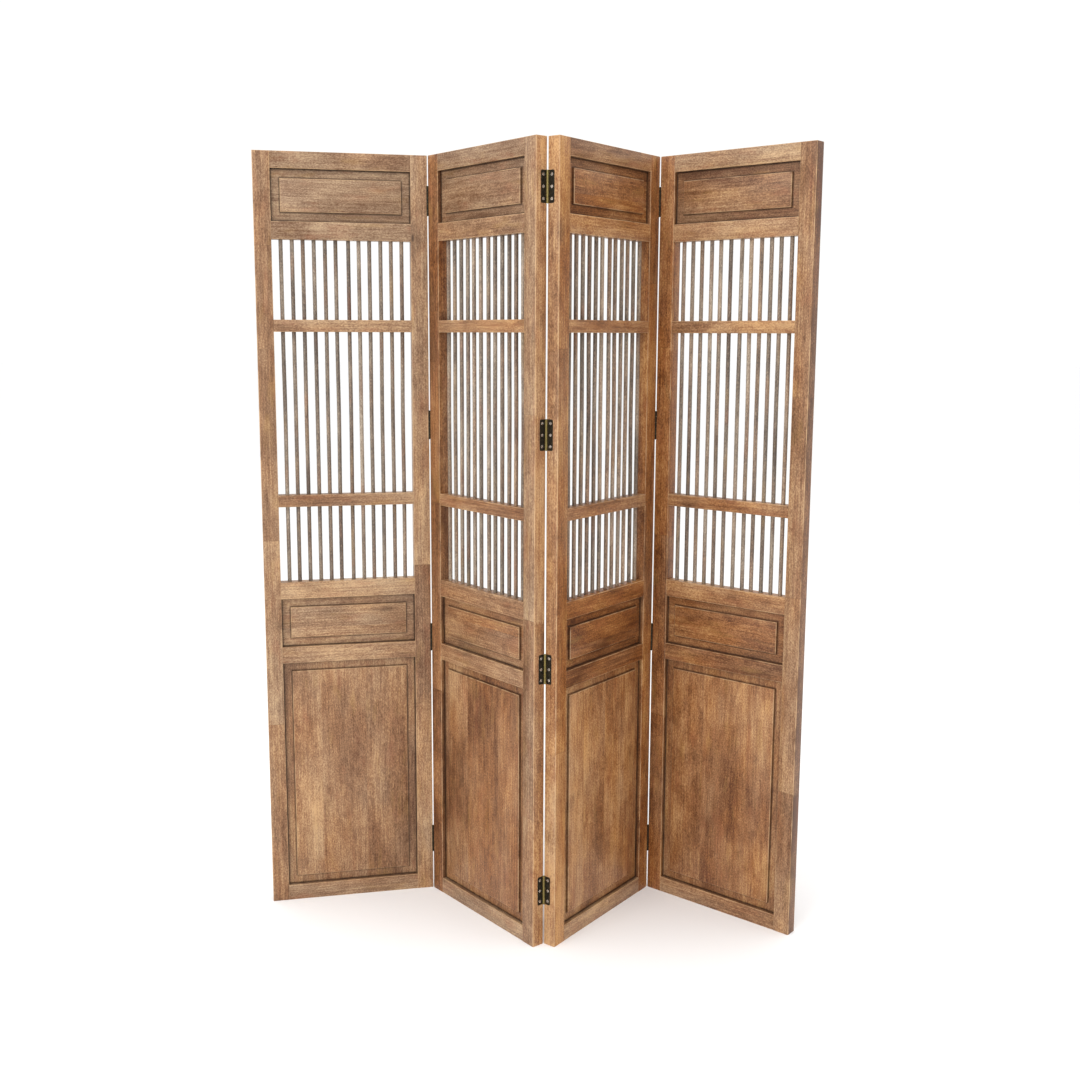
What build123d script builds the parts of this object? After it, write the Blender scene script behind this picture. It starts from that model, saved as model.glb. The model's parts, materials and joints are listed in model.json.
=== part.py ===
from build123d import *
from math import cos, radians, sin
import os

# A four-panel folding room divider in stained hardwood.  Each panel is a mortised frame that
# holds three raised panels and a lattice of round dowels.  Narrow butt hinges, let in flush
# with the end faces of the stiles, join the panels so that they fold up zig-zag.
#
# Millimetres.  +Z is up, -Y is towards the person facing the screen, and the origin is on the
# floor, under the middle of the box round the screen as it stands part folded.
# A panel's own axes are x along its width from its left end, y from its front face towards
# its rear face, and z up from the floor.

# --- Driving dimensions: frames ---------------------------------------------------------
PANEL_WIDTH = 398.0
FRAME_THICKNESS = 30.0
STILE_WIDTH = 39.0
OUTER_ARRIS = 1.5          # rounding of a panel's long outer corners
INNER_ARRIS = 0.8          # rounding of the edges that meet at a joint

# Pieces and openings of a panel, from the floor up, with their heights.
STACK = (
    ("bottom_rail", 38.0),
    ("bottom_panel", 566.0),
    ("middle_rail", 40.0),
    ("middle_panel", 118.0),
    ("sill_rail", 40.0),
    ("lower_bay", 182.0),
    ("lower_lattice_rail", 28.0),
    ("tall_bay", 382.0),
    ("upper_lattice_rail", 28.0),
    ("upper_bay", 182.0),
    ("frieze_rail", 40.0),
    ("frieze_panel", 118.0),
    ("top_rail", 38.0),
)

# --- Driving dimensions: joinery ----------------------------------------------------------
TENON_LENGTH = 22.0
TENON_THICKNESS = 10.0
RAIL_SHOULDER = 9.0        # above and below the tenon of a grooved rail
LATTICE_SHOULDER = 5.0     # above and below the tenon of a lattice rail
GROOVE_DEPTH = 8.0
GROOVE_WIDTH = 9.0
TONGUE_REACH = 7.0         # of a raised panel into its groove, which leaves room to swell

# --- Driving dimensions: raised panels and dowels -----------------------------------------
BORDER_WIDTH = 21.0        # sunk margin round a raised field
FIELD_THICKNESS = 20.0
FIELD_CHAMFER = 1.5
DOWEL_DIAMETER = 9.5
DOWELS_PER_HALF = 6
DOWEL_PITCH = 25.0
DOWEL_MARGIN = 20.7        # from a stile to the nearest dowel's axis
DOWEL_SOCKET = 12.0        # depth of the blind hole at each end

# --- Driving dimensions: hinges ---------------------------------------------------------
HINGE_COUNT = 4
LOWEST_HINGE = 131.0       # height of its middle
HINGE_SPACING = 522.0
LEAF_LENGTH = 68.0
LEAF_REACH = 17.1          # from the pin's axis to the leaf's far edge
LEAF_THICKNESS = 1.5
LEAF_CORNER = 4.0
LEAF_CLEARANCE = 0.1       # between a leaf's edges and its recess
PIVOT_PROUD = 0.3          # of the pin's axis in front of, or behind, the frame's face
BARREL_RADIUS = 2.7
BARREL_CLEARANCE = 0.3     # round the knuckles, in the corner of the stile cut away for them
BARREL_ROOM = 0.5          # beyond each end of the pin, in the same cut
KNUCKLE_COUNT = 5
KNUCKLE_GAP = 0.3
KNUCKLE_CLEARANCE = 0.7    # between a leaf's edge and the other leaf's knuckles
PIN_RADIUS = 1.5
PIN_CLEARANCE = 0.05       # radial, in the knuckles that turn on the pin
PIN_LENGTH = 69.0
SCREW_PITCH = 25.0
SCREW_SETBACK = 7.0        # from the leaf's far edge
HEAD_RADIUS = 3.2
NECK_RADIUS = 1.7
SHANK_RADIUS = 1.5
SHANK_LENGTH = 12.0
POINT_LENGTH = 3.0
SEAT_CLEARANCE = 0.05      # between a screw's head and its countersink
SLOT_LENGTH = 3.4
SLOT_WIDTH = 0.7
SLOT_DEPTH = 0.9

# Each panel's heading in degrees, from its left end towards its right end, seen from above.
HEADINGS = {1: 12.1, 2: -51.1, 3: 52.6, 4: -40.0}

# Folds: left panel, right panel, the face on which the pin stands, and the panel whose leaf
# has the outer knuckles and keeps the pin.
FRONT, REAR = "front", "rear"
FOLDS = (
    (1, 2, FRONT, 2),
    (2, 3, REAR, 2),
    (3, 4, FRONT, 3),
)

# --- Worked-out sizes -----------------------------------------------------------------
PANEL_HEIGHT = sum(height for _, height in STACK)
OPENING_WIDTH = PANEL_WIDTH - 2 * STILE_WIDTH
MID_DEPTH = FRAME_THICKNESS / 2
HALF_GAP = BARREL_RADIUS - LEAF_THICKNESS   # from a stile's end face to the pins' line
HINGE_HEIGHTS = [LOWEST_HINGE + step * HINGE_SPACING for step in range(HINGE_COUNT)]
KNUCKLE_LENGTH = (LEAF_LENGTH - (KNUCKLE_COUNT - 1) * KNUCKLE_GAP) / KNUCKLE_COUNT
KNUCKLE_PITCH = KNUCKLE_LENGTH + KNUCKLE_GAP
FRAME_RAILS = ("top_rail", "frieze_rail", "sill_rail", "middle_rail", "bottom_rail")
LATTICE_RAILS = ("lower_lattice_rail", "upper_lattice_rail")
RAISED_PANELS = ("bottom_panel", "middle_panel", "frieze_panel")


def stack_levels():
    """Map each name in the stack to its lowest and highest level."""
    levels = {}
    floor = 0.0
    for name, height in STACK:
        levels[name] = (floor, floor + height)
        floor += height
    return levels


def dowel_positions():
    """Distances of the dowels' axes from the panel's left end."""
    half = [DOWEL_MARGIN + step * DOWEL_PITCH for step in range(DOWELS_PER_HALF)]
    mirrored = [OPENING_WIDTH - distance for distance in half]
    return [STILE_WIDTH + distance for distance in half + mirrored]


LEVELS = stack_levels()
DOWELS = dowel_positions()


class PanelPlace:
    """Where one panel stands: the bottom of its left front corner, and its heading."""

    def __init__(self, number, corner):
        heading = radians(HEADINGS[number])
        self.name = f"panel_{number}"
        self.corner = corner
        self.along = Vector(cos(heading), sin(heading), 0)
        self.inward = Vector(-sin(heading), cos(heading), 0)

    def point(self, x, y, z=0.0):
        """The place of a point given in the panel's own axes."""
        return self.corner + self.along * x + self.inward * y + Vector(0, 0, z)

    def level(self, z=0.0):
        """Level plane whose x and y are the panel's own."""
        return Plane(origin=self.point(0, 0, z), x_dir=self.along, z_dir=(0, 0, 1))

    def section(self, x, z):
        """Upright plane across the panel: x is depth from its middle, y is up from z."""
        return Plane(origin=self.point(x, MID_DEPTH, z), x_dir=self.inward, z_dir=self.along)

    def middle_plane(self, x, z):
        """Upright plane in the panel's mid-thickness, facing the front."""
        return Plane(origin=self.point(x, MID_DEPTH, z), x_dir=self.along, z_dir=-self.inward)


class HingeSide:
    """One panel's half of a fold: the end it is on, and the pin's place there."""

    def __init__(self, place, end, face, keeps_pin):
        self.place = place
        self.keeps_pin = keeps_pin
        self.outward = 1 if end == "right" else -1
        self.depthward = 1 if face == FRONT else -1
        self.end_x = PANEL_WIDTH if end == "right" else 0.0
        self.pivot_x = self.end_x + self.outward * HALF_GAP
        self.pivot_y = -PIVOT_PROUD if face == FRONT else FRAME_THICKNESS + PIVOT_PROUD

    def pivot(self):
        """The pin's axis on the floor."""
        return self.place.point(self.pivot_x, self.pivot_y)

    def leaf_plane(self, height):
        """Plane on which the leaf lies, let into the end face, x from the pin's line."""
        seat_x = self.end_x - self.outward * LEAF_THICKNESS
        return Plane(
            origin=self.place.point(seat_x, self.pivot_y, height),
            x_dir=self.place.inward * self.depthward,
            z_dir=self.place.along * self.outward,
        )

    def knuckle_offsets(self, own=True):
        """Middles of this leaf's knuckles, or of the other leaf's, from the hinge's middle."""
        outer_set = self.keeps_pin == own
        first = 0 if outer_set else 1
        middle = (KNUCKLE_COUNT - 1) / 2
        return [(index - middle) * KNUCKLE_PITCH for index in range(first, KNUCKLE_COUNT, 2)]


def stand_panels():
    """Place the four panels so that their pins' lines meet, centred over the origin."""
    places = {2: PanelPlace(2, Vector(0, 0, 0))}
    for left, right, face, _ in FOLDS:
        known, new = (left, right) if left in places else (right, left)
        known_end, new_end = ("right", "left") if known == left else ("left", "right")
        target = HingeSide(places[known], known_end, face, False).pivot()
        loose = PanelPlace(new, Vector(0, 0, 0))
        places[new] = PanelPlace(new, target - HingeSide(loose, new_end, face, False).pivot())
    corners = [
        place.point(x, y)
        for place in places.values()
        for x in (OUTER_ARRIS, PANEL_WIDTH - OUTER_ARRIS)
        for y in (OUTER_ARRIS, FRAME_THICKNESS - OUTER_ARRIS)
    ]
    middle_x = (min(corner.X for corner in corners) + max(corner.X for corner in corners)) / 2
    middle_y = (min(corner.Y for corner in corners) + max(corner.Y for corner in corners)) / 2
    shift = Vector(-middle_x, -middle_y, 0)
    return {number: PanelPlace(number, places[number].corner + shift) for number in HEADINGS}


def save(builder, name):
    """Label a finished piece and write it to its own file."""
    builder.part.label = name
    export_step(builder.part, f"parts/{name}.step")


def tenon_height(rail):
    """Height of a rail's tenon, between its two shoulders."""
    low, high = LEVELS[rail]
    shoulder = LATTICE_SHOULDER if rail in LATTICE_RAILS else RAIL_SHOULDER
    return high - low - 2 * shoulder


# --- Timber pieces ------------------------------------------------------------------------
def cut_hinge_seat(side, height):
    """Cut one hinge's recess, the room for its knuckles and its pilot holes from a stile."""
    with BuildSketch(side.leaf_plane(height)) as recess:
        with Locations((LEAF_REACH / 2, 0)):
            Rectangle(LEAF_REACH + 2 * LEAF_CLEARANCE, LEAF_LENGTH + 2 * LEAF_CLEARANCE)
        fillet(recess.vertices().group_by(Axis.X)[-1], LEAF_CORNER)
    extrude(recess.sketch, amount=LEAF_THICKNESS, mode=Mode.SUBTRACT)
    room_height = PIN_LENGTH + 2 * BARREL_ROOM
    with BuildSketch(side.place.level(height - room_height / 2)) as room:
        with Locations((side.pivot_x, side.pivot_y)):
            Circle(BARREL_RADIUS + BARREL_CLEARANCE)
    extrude(room.sketch, amount=room_height, mode=Mode.SUBTRACT)
    with BuildSketch(side.leaf_plane(height)) as pilots:
        with Locations(*screw_spots()):
            Circle(SHANK_RADIUS)
    extrude(pilots.sketch, amount=-(SHANK_LENGTH + POINT_LENGTH), mode=Mode.SUBTRACT)


def make_stile(place, end, hinge_side):
    """Full-height stile with its panel grooves, its mortises and the seats of its hinges."""
    is_left = end == "left"
    low_x = 0.0 if is_left else PANEL_WIDTH - STILE_WIDTH
    inner_x = STILE_WIDTH if is_left else PANEL_WIDTH - STILE_WIDTH
    into_stile = -1 if is_left else 1
    with BuildPart() as stile:
        with BuildSketch(place.level()) as outline:
            with Locations((low_x + STILE_WIDTH / 2, MID_DEPTH)):
                Rectangle(STILE_WIDTH, FRAME_THICKNESS)
            outer_corners = outline.vertices().group_by(Axis.X)[0 if is_left else -1]
            fillet(outer_corners, OUTER_ARRIS)
            inner_corners = outline.vertices().group_by(Axis.X)[-1 if is_left else 0]
            fillet(inner_corners, INNER_ARRIS)
        extrude(amount=PANEL_HEIGHT)
        for name in RAISED_PANELS:
            low, high = LEVELS[name]
            with BuildSketch(place.level(low - GROOVE_DEPTH)):
                with Locations((inner_x + into_stile * GROOVE_DEPTH / 2, MID_DEPTH)):
                    Rectangle(GROOVE_DEPTH, GROOVE_WIDTH)
            extrude(amount=high - low + 2 * GROOVE_DEPTH, mode=Mode.SUBTRACT)
        for name in FRAME_RAILS + LATTICE_RAILS:
            low, high = LEVELS[name]
            height = tenon_height(name)
            with BuildSketch(place.level((low + high - height) / 2)):
                with Locations((inner_x + into_stile * TENON_LENGTH / 2, MID_DEPTH)):
                    Rectangle(TENON_LENGTH, TENON_THICKNESS)
            extrude(amount=height, mode=Mode.SUBTRACT)
        if hinge_side:
            for height in HINGE_HEIGHTS:
                cut_hinge_seat(hinge_side, height)
    save(stile, f"{place.name}_{end}_stile")


def make_rail(place, name, grooves, sockets):
    """Rail between the stiles, with a tenon at each end.

    grooves says which edges take a raised panel and sockets which edge takes dowels, each as
    a set of "top" and "bottom".
    """
    low, high = LEVELS[name]
    middle = (low + high) / 2
    with BuildPart() as rail:
        with BuildSketch(place.section(STILE_WIDTH, middle)):
            RectangleRounded(FRAME_THICKNESS, high - low, INNER_ARRIS)
            for edge in grooves:
                groove_middle = (high - low - GROOVE_DEPTH) / 2
                with Locations((0, groove_middle if edge == "top" else -groove_middle)):
                    Rectangle(GROOVE_WIDTH, GROOVE_DEPTH, mode=Mode.SUBTRACT)
        extrude(amount=OPENING_WIDTH)
        with BuildSketch(place.section(STILE_WIDTH - TENON_LENGTH, middle)):
            Rectangle(TENON_THICKNESS, tenon_height(name))
        extrude(amount=OPENING_WIDTH + 2 * TENON_LENGTH)
        for edge in sockets:
            with BuildSketch(place.level(high if edge == "top" else low)):
                with Locations(*[(x, MID_DEPTH) for x in DOWELS]):
                    Circle(DOWEL_DIAMETER / 2)
            depth = -DOWEL_SOCKET if edge == "top" else DOWEL_SOCKET
            extrude(amount=depth, mode=Mode.SUBTRACT)
    save(rail, f"{place.name}_{name}")


def make_lattice_rails(place):
    """The two narrow rails that the dowels run through."""
    with BuildPart() as rails:
        for name in LATTICE_RAILS:
            low, high = LEVELS[name]
            middle = (low + high) / 2
            with BuildSketch(place.section(STILE_WIDTH, middle)):
                RectangleRounded(FRAME_THICKNESS, high - low, INNER_ARRIS)
            extrude(amount=OPENING_WIDTH)
            with BuildSketch(place.section(STILE_WIDTH - TENON_LENGTH, middle)):
                Rectangle(TENON_THICKNESS, tenon_height(name))
            extrude(amount=OPENING_WIDTH + 2 * TENON_LENGTH)
            with BuildSketch(place.level(low)):
                with Locations(*[(x, MID_DEPTH) for x in DOWELS]):
                    Circle(DOWEL_DIAMETER / 2)
            extrude(amount=high - low, mode=Mode.SUBTRACT)
    save(rails, f"{place.name}_lattice_rails")


def make_raised_panel(place, name):
    """Panel with a thin tongue all round and a thick field raised on both faces."""
    low, high = LEVELS[name]
    centre = place.middle_plane(PANEL_WIDTH / 2, (low + high) / 2)
    width = OPENING_WIDTH
    height = high - low
    with BuildPart() as panel:
        with BuildSketch(centre):
            Rectangle(width - 2 * BORDER_WIDTH, height - 2 * BORDER_WIDTH)
        extrude(amount=FIELD_THICKNESS / 2, both=True)
        faces = panel.faces().filter_by(lambda face: abs(face.normal_at().Z) < 0.5)
        broad = faces.sort_by(SortBy.AREA)[-2:]
        chamfer(broad.edges(), FIELD_CHAMFER)
        with BuildSketch(centre):
            Rectangle(width + 2 * TONGUE_REACH, height + 2 * TONGUE_REACH)
        extrude(amount=GROOVE_WIDTH / 2, both=True)
    save(panel, f"{place.name}_{name}")


def make_dowels(place):
    """The dowels, each one stick from the sill rail's sockets to the frieze rail's."""
    start = LEVELS["sill_rail"][1] - DOWEL_SOCKET
    finish = LEVELS["frieze_rail"][0] + DOWEL_SOCKET
    with BuildPart() as dowels:
        with BuildSketch(place.level(start)):
            with Locations(*[(x, MID_DEPTH) for x in DOWELS]):
                Circle(DOWEL_DIAMETER / 2)
        extrude(amount=finish - start)
    save(dowels, f"{place.name}_dowels")


# --- Hinges -----------------------------------------------------------------------------
def screw_spots():
    """Places of a leaf's screws on the leaf plane."""
    across = LEAF_REACH - SCREW_SETBACK
    return [(across, -SCREW_PITCH), (across, 0), (across, SCREW_PITCH)]


def knuckle_edge():
    """Distance from the pin's line at which a leaf stays clear of the other's knuckles."""
    return BARREL_RADIUS + KNUCKLE_CLEARANCE


def make_leaves(side, name):
    """Every hinge's leaf on one side of a fold: plate, knuckles and countersunk holes."""
    bore_radius = PIN_RADIUS if side.keeps_pin else PIN_RADIUS + PIN_CLEARANCE
    with BuildPart() as leaves:
        for height in HINGE_HEIGHTS:
            with BuildSketch(side.leaf_plane(height)) as plate:
                with Locations((LEAF_REACH / 2, 0)):
                    Rectangle(LEAF_REACH, LEAF_LENGTH)
                fillet(plate.vertices().group_by(Axis.X)[-1], LEAF_CORNER)
                with Locations(*[(knuckle_edge() / 2, y) for y in side.knuckle_offsets(own=False)]):
                    Rectangle(knuckle_edge(), KNUCKLE_LENGTH + 2 * KNUCKLE_GAP, mode=Mode.SUBTRACT)
            extrude(amount=LEAF_THICKNESS)
            for offset in side.knuckle_offsets():
                with BuildSketch(side.place.level(height + offset - KNUCKLE_LENGTH / 2)):
                    with Locations((side.pivot_x, side.pivot_y)):
                        Circle(BARREL_RADIUS)
                extrude(amount=KNUCKLE_LENGTH)
            with BuildSketch(side.place.level(height - LEAF_LENGTH / 2)):
                with Locations((side.pivot_x, side.pivot_y)):
                    Circle(bore_radius)
            extrude(amount=LEAF_LENGTH, mode=Mode.SUBTRACT)
            outer_face = side.leaf_plane(height).offset(LEAF_THICKNESS)
            with Locations(*[outer_face * Location((x, y, 0)) for x, y in screw_spots()]):
                CounterSinkHole(
                    NECK_RADIUS + SEAT_CLEARANCE,
                    HEAD_RADIUS + SEAT_CLEARANCE,
                    depth=LEAF_THICKNESS,
                    counter_sink_angle=90,
                )
    save(leaves, name)


def make_screws(place, sides):
    """Every hinge screw in one panel: countersunk head with a cross slot, shank and point."""
    upward = (Align.CENTER, Align.CENTER, Align.MIN)
    downward = (Align.CENTER, Align.CENTER, Align.MAX)
    with BuildPart() as screws:
        for side in sides:
            for height in HINGE_HEIGHTS:
                face = side.leaf_plane(height)
                head_top = face.offset(LEAF_THICKNESS)
                shank_end = face.offset(-SHANK_LENGTH)
                with Locations(*[face * Location((x, y, 0)) for x, y in screw_spots()]):
                    Cone(NECK_RADIUS, HEAD_RADIUS, LEAF_THICKNESS, align=upward)
                    Cylinder(SHANK_RADIUS, SHANK_LENGTH, align=downward)
                with Locations(*[shank_end * Location((x, y, 0)) for x, y in screw_spots()]):
                    Cone(SHANK_RADIUS / 5, SHANK_RADIUS, POINT_LENGTH, align=downward)
                with Locations(*[head_top * Location((x, y, 0)) for x, y in screw_spots()]):
                    Box(SLOT_LENGTH, SLOT_WIDTH, SLOT_DEPTH, align=downward, mode=Mode.SUBTRACT)
                    Box(SLOT_WIDTH, SLOT_LENGTH, SLOT_DEPTH, align=downward, mode=Mode.SUBTRACT)
    save(screws, f"{place.name}_hinge_screws")


def make_pins(place, sides):
    """The hinge pins that stay in one panel's knuckles."""
    with BuildPart() as pins:
        for side in sides:
            for height in HINGE_HEIGHTS:
                with BuildSketch(place.level(height - PIN_LENGTH / 2)):
                    with Locations((side.pivot_x, side.pivot_y)):
                        Circle(PIN_RADIUS)
                extrude(amount=PIN_LENGTH)
    save(pins, f"{place.name}_hinge_pins")


def make_panel(place, sides):
    """Write every piece that belongs to one panel.

    sides maps "left" and "right" to the panel's half of the fold at that end, if it has one.
    """
    for end in ("left", "right"):
        make_stile(place, end, sides.get(end))
    make_rail(place, "bottom_rail", {"top"}, set())
    make_rail(place, "middle_rail", {"top", "bottom"}, set())
    make_rail(place, "sill_rail", {"bottom"}, {"top"})
    make_rail(place, "frieze_rail", {"top"}, {"bottom"})
    make_rail(place, "top_rail", {"bottom"}, set())
    make_lattice_rails(place)
    for name in RAISED_PANELS:
        make_raised_panel(place, name)
    make_dowels(place)
    for end, side in sides.items():
        make_leaves(side, f"{place.name}_{end}_hinge_leaves")
    make_screws(place, sides.values())
    pin_sides = [side for side in sides.values() if side.keeps_pin]
    if pin_sides:
        make_pins(place, pin_sides)


os.makedirs("parts", exist_ok=True)
PLACES = stand_panels()
SIDES = {number: {} for number in HEADINGS}
for left_panel, right_panel, pin_face, pin_keeper in FOLDS:
    SIDES[left_panel]["right"] = HingeSide(
        PLACES[left_panel], "right", pin_face, pin_keeper == left_panel
    )
    SIDES[right_panel]["left"] = HingeSide(
        PLACES[right_panel], "left", pin_face, pin_keeper == right_panel
    )
    axis = SIDES[right_panel]["left"].pivot()
    print(f"fold {left_panel}-{right_panel}: axis at {axis.X:.3f}, {axis.Y:.3f}")
for panel_number, panel_place in PLACES.items():
    make_panel(panel_place, SIDES[panel_number])
    print(f"{panel_place.name}: corner {panel_place.corner.X:.3f}, {panel_place.corner.Y:.3f}")
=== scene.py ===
"""Folding room divider: the looks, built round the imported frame.

Each timber piece of the frame is replaced by one with rounded arrises, glued blocks and a
stained grain that runs the way the wood does.  The hinges keep their CAD shapes and get worn
metal finishes.  Everything is in metres.
"""

import json
import logging
import math
import random
from dataclasses import dataclass, field
from enum import Enum
from typing import Callable, Iterable

import bmesh
import bpy
from mathutils import Matrix, Vector


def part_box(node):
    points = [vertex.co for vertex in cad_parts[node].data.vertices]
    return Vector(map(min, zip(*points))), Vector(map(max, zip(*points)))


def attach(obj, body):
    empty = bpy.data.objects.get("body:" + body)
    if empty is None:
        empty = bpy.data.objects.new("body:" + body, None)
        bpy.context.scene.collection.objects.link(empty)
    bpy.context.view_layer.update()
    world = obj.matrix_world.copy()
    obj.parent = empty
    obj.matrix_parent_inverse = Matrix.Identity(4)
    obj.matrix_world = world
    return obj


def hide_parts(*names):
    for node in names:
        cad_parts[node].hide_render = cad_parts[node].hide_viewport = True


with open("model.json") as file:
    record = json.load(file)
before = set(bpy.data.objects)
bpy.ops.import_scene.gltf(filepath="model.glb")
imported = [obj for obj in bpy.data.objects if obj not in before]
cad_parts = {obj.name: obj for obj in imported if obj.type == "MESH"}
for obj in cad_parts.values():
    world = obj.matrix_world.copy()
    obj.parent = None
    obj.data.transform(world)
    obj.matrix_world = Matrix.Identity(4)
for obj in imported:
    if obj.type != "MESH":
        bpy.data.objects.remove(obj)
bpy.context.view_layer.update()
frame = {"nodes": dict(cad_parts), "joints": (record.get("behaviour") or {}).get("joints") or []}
LOG = logging.getLogger("divider")
MM = 0.001
TOUCH = 0.1 * MM  # an edge this near a plane lies along it
FLUSH = 0.05 * MM  # a face this near a plane lies in it
ALONG = 0.9  # a direction follows an axis when its share of it is more than this
SQUARE = 0.1  # and stands square to it when its share is less than this
UPRIGHT_AXIS = 2
DEPTH_AXIS = 1
PANELS = (1, 2, 3, 4)
Colour = tuple[float, float, float, float]
Pair = tuple[float, float]
Socket = bpy.types.NodeSocket
Feed = Socket | float | tuple


def add_object(name: str, data: bpy.types.ID) -> bpy.types.Object:
    """Put a new object with this data into the scene."""
    made = bpy.data.objects.new(name, data)
    bpy.context.scene.collection.objects.link(made)
    return made


def near(value: float, place: float) -> bool:
    """Whether a measure touches a place."""
    return abs(value - place) < TOUCH


def stain(red: int, green: int, blue: int) -> Colour:
    """Turn a display colour into the linear one that a shader takes.

    Args:
        red: display red, 0 to 255.
        green: display green, 0 to 255.
        blue: display blue, 0 to 255.

    Returns:
        The linear colour with an alpha of 1.
    """
    linear = []
    for channel in (red, green, blue):
        level = channel / 255
        linear.append(level / 12.92 if level <= 0.04045 else ((level + 0.055) / 1.055) ** 2.4)
    return (*linear, 1.0)


# --- Node trees ---------------------------------------------------------------------------
@dataclass(frozen=True)
class Pattern:
    """A noise whose features differ in length along each axis, given as features per metre."""

    stretch: tuple[float, float, float]
    detail: float = 3.0
    roughness: float = 0.55
    distortion: float = 0.0


class Wiring:
    """Short hand for filling one material's node tree."""

    def __init__(self, name: str) -> None:
        """Start a material with an empty tree.

        Args:
            name: the material's name.
        """
        self.material = bpy.data.materials.new(name)
        self.material.use_nodes = True
        self.tree = self.material.node_tree
        self.tree.nodes.clear()

    def node(self, kind: str, feeds: dict | None = None, **settings) -> bpy.types.Node:
        """Add a node.

        Args:
            kind: the node's type, without its ShaderNode prefix.
            feeds: input names or numbers, each with a value or a socket to link.
            **settings: the node's own properties.

        Returns:
            The new node.
        """
        made = self.tree.nodes.new("ShaderNode" + kind)
        for key, value in settings.items():
            setattr(made, key, value)
        for key, value in (feeds or {}).items():
            if isinstance(value, Socket):
                self.tree.links.new(value, made.inputs[key])
            else:
                made.inputs[key].default_value = value
        return made

    def attribute(self, name: str, output: str = "Vector") -> Socket:
        """Read one of a piece's own attributes."""
        return self.node("Attribute", attribute_name=name).outputs[output]

    def math(self, operation: str, *values: Feed, clamp: bool = False) -> Socket:
        """Work out one number from one, two or three others."""
        feeds = dict(enumerate(values))
        return self.node("Math", feeds, operation=operation, use_clamp=clamp).outputs[0]

    def vector(self, operation: str, first: Feed, second: Feed) -> Socket:
        """Work out one vector from two others."""
        return self.node("VectorMath", {0: first, 1: second}, operation=operation).outputs[0]

    def noise(self, place: Socket, pattern: Pattern) -> Socket:
        """Sample a noise.

        Args:
            place: the coordinates.
            pattern: the noise's lengths and detail.

        Returns:
            The noise's value, about 0 to 1.
        """
        scaled = self.vector("MULTIPLY", place, pattern.stretch)
        feeds = {"Vector": scaled, "Scale": 1.0, "Detail": pattern.detail,
                 "Roughness": pattern.roughness, "Distortion": pattern.distortion}
        return self.node("TexNoise", feeds, noise_dimensions="3D").outputs["Fac"]

    def sway(self, value: Socket, gain: float, base: Feed) -> Socket:
        """Add to a base what a noise strays from its middle, times a gain."""
        return self.math("MULTIPLY_ADD", self.math("SUBTRACT", value, 0.5), gain, base)

    def spread(self, value: Socket, source: Pair, target: Pair = (0.0, 1.0)) -> Socket:
        """Map a range of numbers smoothly on to another."""
        feeds = {"Value": value, "From Min": source[0], "From Max": source[1],
                 "To Min": target[0], "To Max": target[1]}
        return self.node("MapRange", feeds, interpolation_type="SMOOTHSTEP").outputs["Result"]

    def blend(self, share: Socket, first: Feed, second: Feed) -> Socket:
        """Mix two colours, with the share of the second given."""
        feeds = {0: share, 6: first, 7: second}
        return self.node("Mix", feeds, data_type="RGBA", clamp_factor=True).outputs[2]

    def bump(self, height: Socket, strength: float, distance: float) -> Socket:
        """Turn a height into a bumped normal."""
        feeds = {"Height": height, "Strength": strength, "Distance": distance}
        return self.node("Bump", feeds).outputs[0]

    def choose(self, share: Socket, first: Socket, second: Socket) -> Socket:
        """Mix two vectors, with the share of the second given."""
        return self.node("Mix", {0: share, 4: first, 5: second}, data_type="VECTOR").outputs[1]

    def ramp(self, value: Socket, stops: Iterable[tuple[float, Colour]]) -> Socket:
        """Colour a value by a ramp.

        Args:
            value: what is coloured, 0 to 1.
            stops: places on the ramp, each with its colour.

        Returns:
            The colour.
        """
        made = self.node("ValToRGB", {0: value})
        elements = made.color_ramp.elements
        while len(elements) > 1:
            elements.remove(elements[-1])
        for index, (position, colour) in enumerate(stops):
            element = elements[0] if index == 0 else elements.new(position)
            element.position = position
            element.color = colour
        return made.outputs["Color"]

    def surface(self, feeds: dict) -> bpy.types.Material:
        """Close the tree with a principled shader, and give the finished material."""
        shader = self.node("BsdfPrincipled", feeds)
        self.node("OutputMaterial", {"Surface": shader.outputs[0]})
        return self.material


# --- Finishes -----------------------------------------------------------------------------
# Dark stain for knots, glue lines and blotches, also used as painted shade in the corners of the
# joinery.
DARK_STAIN_AND_SHADE = stain(46, 28, 16)


@dataclass(frozen=True)
class Rings:
    """Growth rings, cut lengthwise so that they show as long arches."""

    mirror_along: float = 0.9
    mirror_across: float = 0.11
    sway: float = 0.05
    taper: float = 0.085
    squeeze: float = 0.35
    radians_per_metre: float = 950.0
    ripple: float = 14.0
    sharpness: float = 1.6

    def strength(self, wiring: Wiring, place: Socket, bend: Socket) -> Socket:
        """Wire up the rings.

        Args:
            wiring: the material being filled.
            place: grain coordinates.
            bend: slow noise that sways the fibres.

        Returns:
            Strength of the late wood, 0 to 1.
        """
        parts = wiring.node("SeparateXYZ", {0: place})
        along = wiring.math("PINGPONG", parts.outputs["X"], self.mirror_along)
        across = wiring.math("PINGPONG", parts.outputs["Y"], self.mirror_across)
        swayed = wiring.math("MULTIPLY_ADD", bend, self.sway, across)
        squeezed = wiring.math("MULTIPLY", swayed, self.squeeze)
        tilted = wiring.math("MULTIPLY_ADD", along, self.taper, squeezed)
        squares = [wiring.math("POWER", side, 2.0) for side in (swayed, tilted)]
        radius = wiring.math("SQRT", wiring.math("ADD", *squares))
        rippled = wiring.math("MULTIPLY", bend, self.ripple)
        turns = wiring.math("MULTIPLY_ADD", radius, self.radians_per_metre, rippled)
        wave = wiring.math("MULTIPLY_ADD", wiring.math("SINE", turns), 0.5, 0.5)
        return wiring.math("POWER", wave, self.sharpness)


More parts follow.
